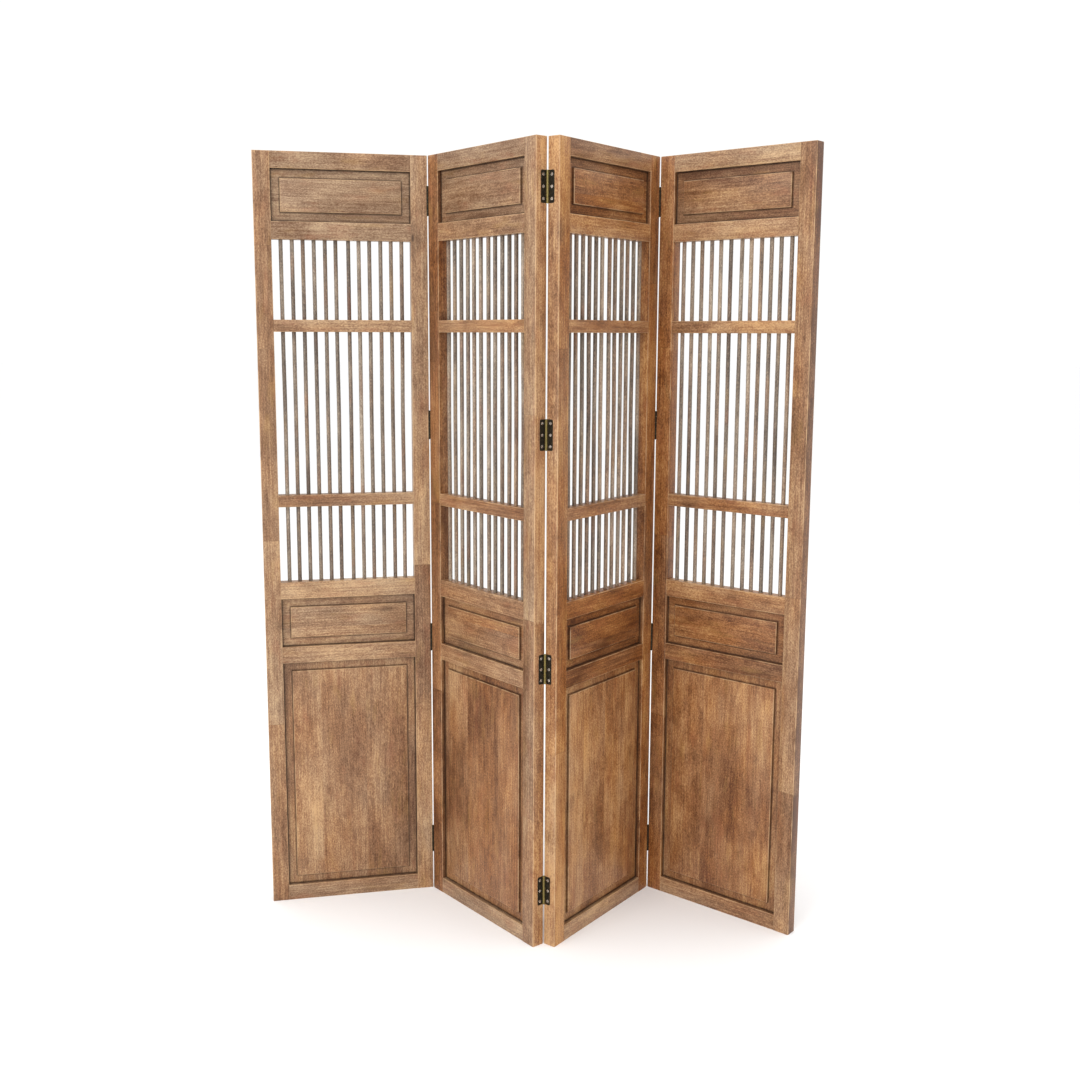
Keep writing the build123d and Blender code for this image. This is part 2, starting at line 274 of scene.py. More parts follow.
@dataclass(frozen=True)
class Knots:
    """Rare pin knots with a dark halo drawn out along the grain."""

    stretch: tuple[float, float, float] = (3.1, 7.5, 0.0)
    core: Pair = (0.02, 0.055)
    halo: Pair = (0.03, 0.22)
    halo_depth: float = 0.35
    rarity: float = 0.72
    depth: float = 0.8

    def strength(self, wiring: Wiring, place: Socket) -> Socket:
        """Wire up the knots.

        Args:
            wiring: the material being filled.
            place: grain coordinates.

        Returns:
            How dark the knots are, 0 to 1.
        """
        stretched = wiring.vector("MULTIPLY", place, self.stretch)
        cells = wiring.node("TexVoronoi", {"Vector": stretched, "Scale": 1.0, "Randomness": 1.0},
                            voronoi_dimensions="3D", feature="F1")
        core = wiring.spread(cells.outputs["Distance"], self.core, (1.0, 0.0))
        halo = wiring.spread(cells.outputs["Distance"], self.halo, (self.halo_depth, 0.0))
        draw = wiring.node("SeparateColor", {0: cells.outputs["Color"]}).outputs[0]
        rare = wiring.math("GREATER_THAN", draw, self.rarity)
        shown = wiring.math("MULTIPLY", wiring.math("MAXIMUM", core, halo), rare)
        return wiring.math("MULTIPLY", shown, self.depth)


@dataclass(frozen=True)
class Fingers:
    """The finger joint between two blocks, and the dark line of its glue."""

    pitch: float = 3.4 * MM
    slope: float = 2.6
    reach: float = 4.4 * MM
    glue_line: float = 0.9 * MM
    glue_depth: float = 0.35
    seed_shift: tuple[float, float, float] = (7.3, 3.1, 5.7)

    def split(self, wiring: Wiring) -> tuple:
        """Pick the block that a point is in, each side of the fingers of a joint.

        Args:
            wiring: the material being filled.

        Returns:
            Grain coordinates, tone, warmth and the darkness of the glue line.
        """
        grain = wiring.attribute("grain")
        depth = wiring.node("SeparateXYZ", {0: grain}).outputs["Z"]
        fingers = wiring.math("PINGPONG", depth, self.pitch)
        reach = wiring.math("MULTIPLY_ADD", fingers, self.slope, -self.reach)
        side = wiring.math("ADD", wiring.attribute("joint", "Fac"), reach)
        upper = wiring.math("GREATER_THAN", side, 0.0)
        block = wiring.choose(upper, wiring.attribute("block_low"), wiring.attribute("block_high"))
        tone, warmth, seed = wiring.node("SeparateXYZ", {0: block}).outputs
        seeds = wiring.node("CombineXYZ", dict.fromkeys(range(3), seed)).outputs[0]
        place = wiring.vector("ADD", grain, wiring.vector("MULTIPLY", self.seed_shift, seeds))
        near = wiring.spread(wiring.math("ABSOLUTE", side), (0.0, self.glue_line), (1.0, 0.0))
        return place, tone, warmth, wiring.math("MULTIPLY", near, self.glue_depth)


@dataclass(frozen=True)
class Overlay:
    """A second colour that shows where its noise runs high."""

    pattern: Pattern
    rise: Pair
    most: float
    colour: Colour


@dataclass(frozen=True)
class WoodStain:
    """Stained and satin-lacquered hardwood whose grain follows each piece's own axes.

    The piece's attributes say where each point lies in its block: "grain" runs along, across
    and through the wood, and "block_low" and "block_high" hold the tone, warmth and seed of
    the blocks each side of a finger joint, whose distance is "joint".
    """

    name: str
    figure: float = 1.0
    streakiness: float = 1.0
    warm: tuple[Colour, Colour, Colour] = (
        stain(78, 38, 10), stain(147, 92, 47), stain(197, 148, 92))
    cool: tuple[Colour, Colour, Colour] = (
        stain(104, 71, 46), stain(150, 121, 94), stain(198, 168, 132))
    stops: tuple[float, float, float] = (0.1, 0.5, 0.9)
    rings: Rings = Rings()
    knots: Knots = Knots()
    fingers: Fingers = Fingers()
    # Noises, from the slowest to the finest.
    bend: Pattern = Pattern((2.2, 7.0, 7.0), 2.0)
    patches: Pattern = Pattern((3.5, 9.0, 9.0), 3.0, 0.5, 0.4)
    drift: Pattern = Pattern((6.0, 18.0, 18.0))
    mottle: Pattern = Pattern((20.0, 45.0, 45.0), 4.0, 0.6, 0.6)
    soak_and_shade: Pattern = Pattern((30.0, 60.0, 60.0), 2.0)
    streaks: Pattern = Pattern((7.0, 240.0, 240.0), 4.0, 0.6)
    fibres: Pattern = Pattern((30.0, 480.0, 480.0), 2.0, 0.6)
    flecks: Pattern = Pattern((230.0, 420.0, 420.0), 3.0, 0.7)
    # What each adds to the value that the colour ramps read.
    base: float = -0.035
    patch_gain: float = 1.05
    mottle_gain: float = 0.65
    streak_gain: float = 0.80
    fleck_gain: float = 1.40
    dash_gain: float = -0.12
    ring_gain: float = -0.05
    tone_gain: float = 0.3
    dash_rise: Pair = (0.56, 0.74)
    overlays: tuple[Overlay, ...] = (
        Overlay(Pattern((12.0, 40.0, 40.0)), (0.52, 0.74), 0.2, stain(158, 92, 60)),
        Overlay(Pattern((10.0, 40.0, 25.0)), (0.54, 0.76), 0.22, stain(176, 138, 76)),
        Overlay(Pattern((7.0, 16.0, 16.0), 3.0, 0.5, 0.5), (0.62, 0.78), 0.4, DARK_STAIN_AND_SHADE))
    # Rubbed edges with a painted highlight on them, and the glaze soaked into corners with painted
    # shade there.
    bare_and_lit_edge: Colour = stain(200, 164, 124)
    rub_and_highlight_rise: Pair = (0.35, 0.6)
    rub_and_highlight_depth: Pair = (0.2, 0.8)
    soak_and_shade_rise: Pair = (0.3, 0.7)
    soak_and_shade_depth: Pair = (0.75, 1.0)
    # The lacquer.
    roughness: float = 0.46
    roughness_swing: float = 0.16
    glaze_and_shade_roughness: float = 0.12
    specular: float = 0.32
    coat: float = 0.12
    coat_roughness: float = 0.38
    fleck_height: float = 0.6
    dash_height: float = -0.5
    bump_strength: float = 0.4
    bump_distance: float = 0.4 * MM

    def material(self) -> bpy.types.Material:
        """Build the stained wood.

        Returns:
            The finished material.
        """
        wiring = Wiring(self.name)
        place, tone, warmth, glue = self.fingers.split(wiring)
        bend = wiring.math("SUBTRACT", wiring.noise(place, self.bend), 0.5)
        mottle = wiring.noise(place, self.mottle)
        streaks = wiring.noise(place, self.streaks)
        flecks = wiring.noise(place, self.flecks)
        dashes = wiring.spread(wiring.noise(place, self.fibres), self.dash_rise)
        rings = self.rings.strength(wiring, place, bend)

        patches = wiring.noise(place, self.patches)
        value = wiring.math("MULTIPLY_ADD", patches, self.patch_gain, self.base)
        value = wiring.sway(mottle, self.mottle_gain, value)
        value = wiring.sway(streaks, self.streak_gain * self.streakiness, value)
        value = wiring.sway(flecks, self.fleck_gain, value)
        value = wiring.math("MULTIPLY_ADD", dashes, self.dash_gain, value)
        value = wiring.math("MULTIPLY_ADD", rings, self.ring_gain * self.figure, value)
        value = wiring.math("MULTIPLY_ADD", tone, self.tone_gain, value, clamp=True)

        warm = wiring.ramp(value, zip(self.stops, self.warm))
        cool = wiring.ramp(value, zip(self.stops, self.cool))
        drift = wiring.math("SUBTRACT", wiring.noise(place, self.drift), 0.5)
        share = wiring.math("ADD", drift, warmth, clamp=True)
        colour = wiring.blend(share, cool, warm)
        for overlay in self.overlays:
            noise = wiring.noise(place, overlay.pattern)
            share = wiring.spread(noise, overlay.rise, (0.0, overlay.most))
            colour = wiring.blend(share, colour, overlay.colour)
        for share in (self.knots.strength(wiring, place), glue):
            colour = wiring.blend(share, colour, DARK_STAIN_AND_SHADE)

        # Rounded edges drawn paler: partly rubbed bare, partly a painted highlight where the
        # arrises catch the light.
        edge_rub_and_highlight = wiring.spread(mottle, self.rub_and_highlight_rise, self.rub_and_highlight_depth)
        wear_and_highlight = wiring.math("MULTIPLY", wiring.attribute("wear_and_highlight", "Fac"), edge_rub_and_highlight)
        colour = wiring.blend(wear_and_highlight, colour, self.bare_and_lit_edge)
        # Dark glaze in the corners of the joinery, deepened as painted shade, and made patchy by a
        # noise.
        soak_and_shade = wiring.spread(wiring.noise(place, self.soak_and_shade), self.soak_and_shade_rise, self.soak_and_shade_depth)
        glaze_and_shade = wiring.math("MULTIPLY", wiring.attribute("glaze_and_shade", "Fac"), soak_and_shade, clamp=True)
        colour = wiring.blend(glaze_and_shade, colour, DARK_STAIN_AND_SHADE)

        shine = wiring.sway(streaks, self.roughness_swing, self.roughness)
        shine = wiring.math("MULTIPLY_ADD", glaze_and_shade, self.glaze_and_shade_roughness, shine)
        height = wiring.math("MULTIPLY_ADD", dashes, self.dash_height, streaks)
        height = wiring.math("MULTIPLY_ADD", flecks, self.fleck_height, height)
        return wiring.surface({
            "Base Color": colour, "Roughness": shine, "Specular IOR Level": self.specular,
            "Normal": wiring.bump(height, self.bump_strength, self.bump_distance),
            "Coat Weight": self.coat, "Coat Roughness": self.coat_roughness})


@dataclass(frozen=True)
class WornMetal:
    """Metal with a patina that has rubbed through in places."""

    name: str
    base: Colour
    worn: Colour
    patina: Colour
    metallic: float = 1.0
    roughness: float = 0.35
    roughness_swing: float = 0.22
    wear_share: float = 0.25
    wear_rise: Pair = (0.72, 0.95)
    wear_depth: float = 0.9
    patina_rise: Pair = (0.35, 0.65)
    mottle: Pattern = Pattern((210.0, 210.0, 210.0), 4.0, 0.6)
    scuffs: Pattern = Pattern((900.0, 900.0, 160.0), 3.0, 0.7)
    bump_strength: float = 0.25
    bump_distance: float = 0.1 * MM
    # The upright axis of barrels drawn in bright brass all over, partly rubbed brass and partly a
    # painted highlight, and how the rest is scuffed then.
    rubbed_and_lit_axis: Pair | None = None
    rubbed_and_lit_radius: float = 3.1 * MM
    rubbed_and_lit_core: float = 0.8
    barrel_wear_and_highlight: float = 0.65
    barrel_scuffs: float = 0.3
    leaf_scuffs: float = 0.08

    def rubbed_and_lit_barrel(self, wiring: Wiring, place: Socket) -> Socket:
        """Mark the barrels drawn in bright brass, partly rubbed patina and partly a painted
        highlight.

        Args:
            wiring: the material being filled.
            place: object coordinates.

        Returns:
            1 on a barrel, 0 elsewhere.
        """
        offset = wiring.vector("SUBTRACT", place, (*self.rubbed_and_lit_axis, 0.0))
        flat = wiring.vector("MULTIPLY", offset, (1.0, 1.0, 0.0))
        reach = wiring.node("VectorMath", {0: flat}, operation="LENGTH").outputs["Value"]
        fade = (self.rubbed_and_lit_radius * self.rubbed_and_lit_core, self.rubbed_and_lit_radius)
        return wiring.spread(reach, fade, (1.0, 0.0))

    def material(self) -> bpy.types.Material:
        """Build the metal.

        Returns:
            The finished material.
        """
        wiring = Wiring(self.name)
        place = wiring.node("TexCoord").outputs["Object"]
        mottle = wiring.noise(place, self.mottle)
        scuffs = wiring.noise(place, self.scuffs)
        colour = wiring.blend(wiring.spread(mottle, self.patina_rise), self.patina, self.base)
        rise = tuple(level - self.wear_share for level in self.wear_rise)
        worn = wiring.spread(scuffs, rise, (0.0, self.wear_depth))
        if self.rubbed_and_lit_axis:
            rubbed_and_lit_barrel = self.rubbed_and_lit_barrel(wiring, place)
            share = wiring.math("MULTIPLY_ADD", rubbed_and_lit_barrel, self.barrel_scuffs, self.leaf_scuffs)
            worn = wiring.math("MULTIPLY", share, worn)
            worn = wiring.math("MULTIPLY_ADD", rubbed_and_lit_barrel, self.barrel_wear_and_highlight, worn, clamp=True)
        return wiring.surface({
            "Base Color": wiring.blend(worn, colour, self.worn), "Metallic": self.metallic,
            "Roughness": wiring.sway(mottle, self.roughness_swing, self.roughness),
            "Normal": wiring.bump(scuffs, self.bump_strength, self.bump_distance)})


# --- Wood pieces --------------------------------------------------------------------------
class Grain(Enum):
    """Which of a panel's axes the fibres follow, then those across and through the wood."""

    UPRIGHT = (2, 0, 1)
    LEVEL = (0, 2, 1)


@dataclass(frozen=True)
class Blocks:
    """The blocks of wood that one piece is glued up from."""

    run: Grain
    seed: str
    tone: float
    warmth: float
    ends: tuple[float, ...] = ()
    edges: tuple[float, ...] = ()
    tone_spread: float = 0.2
    warmth_spread: float = 0.1
    finger_zone: float = 12 * MM
    lifts: tuple[float, ...] = ()
    # The end face, drawn lighter or darker than the rest of the stile as painted light and shade.
    end_face: float = -1.0
    end_reach: float = 1.6 * MM
    end_shift: Pair = (0.0, 0.0)

    def looks(self, row: int, column: int) -> Vector:
        """Tone, warmth and seed of one block.

        Args:
            row: its number along the grain.
            column: its number across the grain.

        Returns:
            The three numbers that the stain reads.
        """
        chance = random.Random(f"{self.seed}/{row}/{column}")
        lift = self.lifts[row] if row < len(self.lifts) else 0.0
        tone = self.tone + lift + chance.uniform(-1, 1) * self.tone_spread
        warmth = self.warmth + chance.uniform(-1, 1) * self.warmth_spread
        return Vector((tone, warmth, chance.random()))

    def cuts(self) -> list[tuple[int, float]]:
        """Find where the mesh is cut so that each face is in one block or one joint.

        Returns:
            The axis and the place of each cut.
        """
        along, across, _ = self.run.value
        zones = [(along, end + reach) for end in self.ends
                 for reach in (-self.finger_zone, self.finger_zone)]
        return zones + [(across, edge) for edge in self.edges]

    def at(self, middle: Vector) -> tuple[Vector, Vector, float | None]:
        """Find the block, or the two blocks, that a face shows.

        Args:
            middle: the face's middle, in the panel's own axes.

        Returns:
            Looks below and above, and the joint's place along the grain if the face has one.
        """
        along, across, _ = self.run.value
        column = sum(edge < middle[across] for edge in self.edges)
        # On the end face, the looks shift by the painted light and shade.
        on_end = abs(middle.x - self.end_face) < self.end_reach
        shift = Vector((*self.end_shift, 0.0)) if on_end else Vector()
        for row, end in enumerate(self.ends):
            if abs(middle[along] - end) < self.finger_zone:
                return self.looks(row, column) + shift, self.looks(row + 1, column) + shift, end
        row = sum(end < middle[along] for end in self.ends)
        return self.looks(row, column) + shift, self.looks(row, column) + shift, None


@dataclass(frozen=True)
class PanelPlace:
    """Where a panel stands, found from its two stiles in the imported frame."""

    number: int
    to_world: Matrix

    @classmethod
    def find(cls, number: int, sizes: "Sizes") -> "PanelPlace":
        """Measure one panel's place.

        Args:
            number: the panel's number, from the left.
            sizes: the screen's sizes.

        Returns:
            The panel's place.
        """
        middles = []
        for end in ("left", "right"):
            low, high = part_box(f"panel_{number}_{end}_stile")
            middles.append((Vector(low) + Vector(high)) / 2)
        along = (middles[1] - middles[0]).normalized()
        inward = Vector((-along.y, along.x, 0.0))
        centre = (middles[0] + middles[1]) / 2
        corner = centre - along * sizes.width / 2 - inward * sizes.thickness / 2
        corner.z = 0.0
        columns = (along, inward, Vector((0, 0, 1)), corner)
        rows = [[column[index] for column in columns] for index in range(3)]
        return cls(number, Matrix((*rows, (0, 0, 0, 1))))

    @property
    def body(self) -> str:
        """The body that the panel's pieces ride on."""
        return f"panel_{self.number}"


GlazeAndShade = Callable[[Vector, Vector], float]


class Timber:
    """One wooden piece while it is being shaped, in its panel's own axes."""

    FLAT = 0.985  # a face turned further than this from every axis is a rounded edge
    WELD = 1e-6  # corners nearer than this to a cut are used for it

    def __init__(self) -> None:
        """Start with nothing."""
        self.mesh = bmesh.new()

    def slab(self, low: Iterable[float], high: Iterable[float]) -> "Timber":
        """Add a plain block.

        Args:
            low: its lowest corner.
            high: its highest corner.

        Returns:
            The piece itself.
        """
        low, high = Vector(low), Vector(high)
        size = high - low
        matrix = Matrix.Translation((low + high) / 2) @ Matrix.Diagonal((*size, 1.0))
        bmesh.ops.create_cube(self.mesh, size=1.0, matrix=matrix)
        return self

    def round_edges(self, radius: float, wanted: Callable[[Vector, Vector], bool],
                    segments: int = 2) -> "Timber":
        """Round the edges that a test picks.

        Args:
            radius: how far the rounding reaches.
            wanted: takes an edge's middle and direction, and says whether to round it.
            segments: steps in the rounding.

        Returns:
            The piece itself.
        """
        edges = []
        for edge in self.mesh.edges:
            start, end = (vertex.co for vertex in edge.verts)
            if wanted((start + end) / 2, (end - start).normalized()):
                edges.append(edge)
        bmesh.ops.bevel(self.mesh, geom=edges, offset=radius, segments=segments, profile=0.5,
                        affect="EDGES", material=-1, offset_type="OFFSET")
        return self

    def rod(self, radius: float, length: float, sides: int, matrix: Matrix) -> "Timber":
        """Add a plain rod about its matrix's upright axis."""
        bmesh.ops.create_cone(self.mesh, cap_ends=True, segments=sides, radius1=radius,
                              radius2=radius, depth=length, matrix=matrix)
        return self

    def cut(self, axis: int, *places: float) -> "Timber":
        """Cut the faces along planes.

        Args:
            axis: the axis that the planes are square to.
            *places: where they lie along it.

        Returns:
            The piece itself.
        """
        normal = Vector((0, 0, 0))
        normal[axis] = 1.0
        for place in places:
            geometry = [*self.mesh.verts, *self.mesh.edges, *self.mesh.faces]
            bmesh.ops.bisect_plane(self.mesh, geom=geometry, dist=self.WELD,
                                   plane_co=normal * place, plane_no=normal)
        return self

    def join(self, other: "Timber") -> "Timber":
        """Take another shape into this one, and free it.

        Args:
            other: what is taken in.

        Returns:
            The piece itself.
        """
        shape = bpy.data.meshes.new("piece_in_hand")
        other.mesh.to_mesh(shape)
        other.mesh.free()
        self.mesh.from_mesh(shape)
        bpy.data.meshes.remove(shape)
        return self

    def carve(self, cutter: "Timber") -> None:
        """Take another shape away from this one, and free it.

        Args:
            cutter: what is cut away.
        """
        pieces = []
        for timber in (self, cutter):
            shape = bpy.data.meshes.new("piece_in_hand")
            timber.mesh.to_mesh(shape)
            timber.mesh.free()
            pieces.append(add_object("piece_in_hand", shape))
        modifier = pieces[0].modifiers.new("carve", "BOOLEAN")
        modifier.operation = "DIFFERENCE"
        modifier.solver = "EXACT"
        modifier.object = pieces[1]
        graph = bpy.context.evaluated_depsgraph_get()
        carved = bpy.data.meshes.new_from_object(pieces[0].evaluated_get(graph))
        self.mesh = bmesh.new()
        self.mesh.from_mesh(carved)
        for shape in (carved, *(piece.data for piece in pieces)):
            bpy.data.meshes.remove(shape)

    def attributes(self, mesh: bpy.types.Mesh, blocks: Blocks, glaze_and_shade: GlazeAndShade | None,
                   wear_and_highlight: float) -> None:
        """Write the attributes that the stain reads, corner by corner.

        Args:
            mesh: the finished mesh, still in the panel's own axes.
            blocks: the blocks that the piece is glued up from.
            glaze_and_shade: gives the depth of the dark glaze and painted shade from a corner and
                its face's middle.
            wear_and_highlight: how far the rounded edges are rubbed and painted with a highlight,
                0 to 1.
        """
        vectors, numbers = ("grain", "block_low", "block_high"), ("joint", "glaze_and_shade", "wear_and_highlight")
        for name in vectors + numbers:
            kind = "FLOAT_VECTOR" if name in vectors else "FLOAT"
            mesh.attributes.new(name, kind, "CORNER")
        layers = {name: mesh.attributes[name].data for name in vectors + numbers}
        order = blocks.run.value
        for face in mesh.polygons:
            low, high, end = blocks.at(face.center)
            rounded = max(abs(component) for component in face.normal) < self.FLAT
            for loop in face.loop_indices:
                corner = mesh.vertices[mesh.loops[loop].vertex_index].co
                layers["grain"][loop].vector = [corner[axis] for axis in order]
                layers["block_low"][loop].vector = low
                layers["block_high"][loop].vector = high
                layers["joint"][loop].value = 1.0 if end is None else corner[order[0]] - end
                layers["glaze_and_shade"][loop].value = glaze_and_shade(corner, face.center) if glaze_and_shade else 0.0
                layers["wear_and_highlight"][loop].value = wear_and_highlight if rounded else 0.0

    def finish(self, node: str, place: PanelPlace, blocks: Blocks, finish: bpy.types.Material,
               slot: str, glaze_and_shade: GlazeAndShade | None = None, smooth: float = 35.0,
               wear_and_highlight: float = 1.0) -> None:
        """Turn the shape into a stained object in its place.

        Args:
            node: the CAD node that it stands for.
            place: the panel that it belongs to.
            blocks: the blocks that it is glued up from.
            finish: its material.
            slot: the record's name for that finish; not used.
            glaze_and_shade: gives the depth of the dark glaze and painted shade at a corner.
            smooth: edges sharper than this many degrees stay sharp.
            wear_and_highlight: how far the rounded edges are rubbed and painted with a highlight,
                0 to 1.
        """
        for axis, where in blocks.cuts():
            self.cut(axis, where)
        mesh = bpy.data.meshes.new(f"{node}_stained")
        self.mesh.to_mesh(mesh)
        self.mesh.free()
        self.attributes(mesh, blocks, glaze_and_shade, wear_and_highlight)
        mesh.transform(place.to_world)
        mesh.shade_smooth()
        mesh.set_sharp_from_angle(angle=math.radians(smooth))
        mesh.materials.append(finish)
        piece = add_object(f"{node}_stained", mesh)
        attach(piece, place.body)
        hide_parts(node)


@dataclass(frozen=True)
class Sizes:
    """The screen's sizes, as its frame was drawn."""

    width: float = 398 * MM
    thickness: float = 30 * MM
    stile: float = 39 * MM
    outer_arris: float = 1.5 * MM
    inner_arris: float = 1.0 * MM
    hinge_arris: float = 0.4 * MM
    groove: float = 9 * MM
    tongue: float = 7 * MM
    border: float = 21 * MM
    field: float = 20 * MM
    field_wall: float = 0.5 * MM
    field_round: tuple[Pair, ...] = ((0.5 * MM, 0.8 * MM), (0.9 * MM, 0.5 * MM))
    board_offset: float = 14 * MM
    dowel: float = 9.5 * MM

    @property
    def sunk(self) -> float:
        """Depth of a raised panel's border below the frame's face."""
        return (self.thickness - self.groove) / 2

    @property
    def inner_left(self) -> float:
        """Where the opening starts."""
        return self.stile

    @property
    def inner_right(self) -> float:
        """Where the opening ends."""
        return self.width - self.stile


@dataclass(frozen=True)
class GlazeAndShadeDepths:
    """How dark the glaze and the painted shade lie in the corners of the joinery, 0 to 1, and how
    far they run.
    """

    recess_wall: float = 0.92
    under_frame: float = 0.95
    round_field: float = 0.6
    field_edge: float = 0.8
    # A light darkening of the whole border, stronger by the frame: glaze and painted shade.
    wash_and_shade: float = 0.03
    wash_and_shade_at_frame: float = 0.17
    line: float = 1.2 * MM
    fade: float = 2.8 * MM


@dataclass(frozen=True)
class HingeSeats:
    """The recesses in a stile's end face for its hinges' leaves and knuckles."""

    end_face: float
    outward: int  # 1 at a panel's right end, -1 at its left
    in_front: bool
    thickness: float
    lowest: float = 131 * MM
    spacing: float = 522 * MM
    count: int = 4
    leaf_length: float = 68.2 * MM
    leaf_reach: float = 17.2 * MM
    leaf_thickness: float = 1.5 * MM
    leaf_corner: float = 4 * MM
    pin_out: float = 1.2 * MM
    pin_proud: float = 0.3 * MM
    knuckle_room: float = 3.0 * MM
    room_length: float = 70 * MM
    overcut: float = 2 * MM

    def depth(self, behind: float) -> float:
        """Turn a distance behind the face with the pins into the panel's own depth."""
        return behind if self.in_front else self.thickness - behind

    def leaf(self, height: float) -> Timber:
        """Shape the recess of the leaf at one height.

        Args:
            height: the hinge's middle.

        Returns:
            The shape to cut away.
        """
        far_edge = self.depth(self.leaf_reach - self.pin_proud)
        depths = sorted((self.depth(-self.pin_proud - self.overcut), far_edge))
        sides = sorted((self.end_face - self.outward * self.leaf_thickness,
                        self.end_face + self.outward * self.overcut))
        levels = (height - self.leaf_length / 2, height + self.leaf_length / 2)
        shape = Timber().slab(*zip(sides, depths, levels))
        return shape.round_edges(
            self.leaf_corner, lambda at, way: abs(way.x) > ALONG and near(at.y, far_edge), 6)

    def knuckles(self, height: float) -> Timber:
        """Shape the room round the knuckles at one height."""
        axis = (self.end_face + self.outward * self.pin_out, self.depth(-self.pin_proud), height)
        return Timber().rod(self.knuckle_room, self.room_length, 32, Matrix.Translation(axis))

    def cut(self, stile: Timber) -> None:
        """Cut every hinge's seat.

        Args:
            stile: what they are cut from.
        """
        for step in range(self.count):
            height = self.lowest + step * self.spacing
            stile.carve(self.leaf(height))
            stile.carve(self.knuckles(height))


@dataclass
class Level:
    """The lowest and highest level of a rail or an opening."""

    low: float
    high: float

    @classmethod
    def of_node(cls, node: str, trim: float = 0.0) -> "Level":
        """Read a level from a node's box, less what is hidden in grooves or sockets."""
        low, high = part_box(node)
        return cls(low[2] + trim, high[2] - trim)

    @property
    def middle(self) -> float:
        """Half way up."""
        return (self.low + self.high) / 2


@dataclass
class Palette:
    """The finishes that the screen is dressed with."""

    frame_wood: bpy.types.Material = field(
        default_factory=lambda: WoodStain("stained_frame_wood").material())
    panel_wood: bpy.types.Material = field(
        default_factory=lambda: WoodStain(
            "stained_panel_wood", figure=1.2, streakiness=0.85).material())
    dowel_wood: bpy.types.Material = field(
        default_factory=lambda: WoodStain(
            "stained_dowel_wood", figure=0.4, streakiness=0.8,
            cool=(stain(84, 74, 66), stain(138, 123, 107), stain(186, 169, 150))).material())


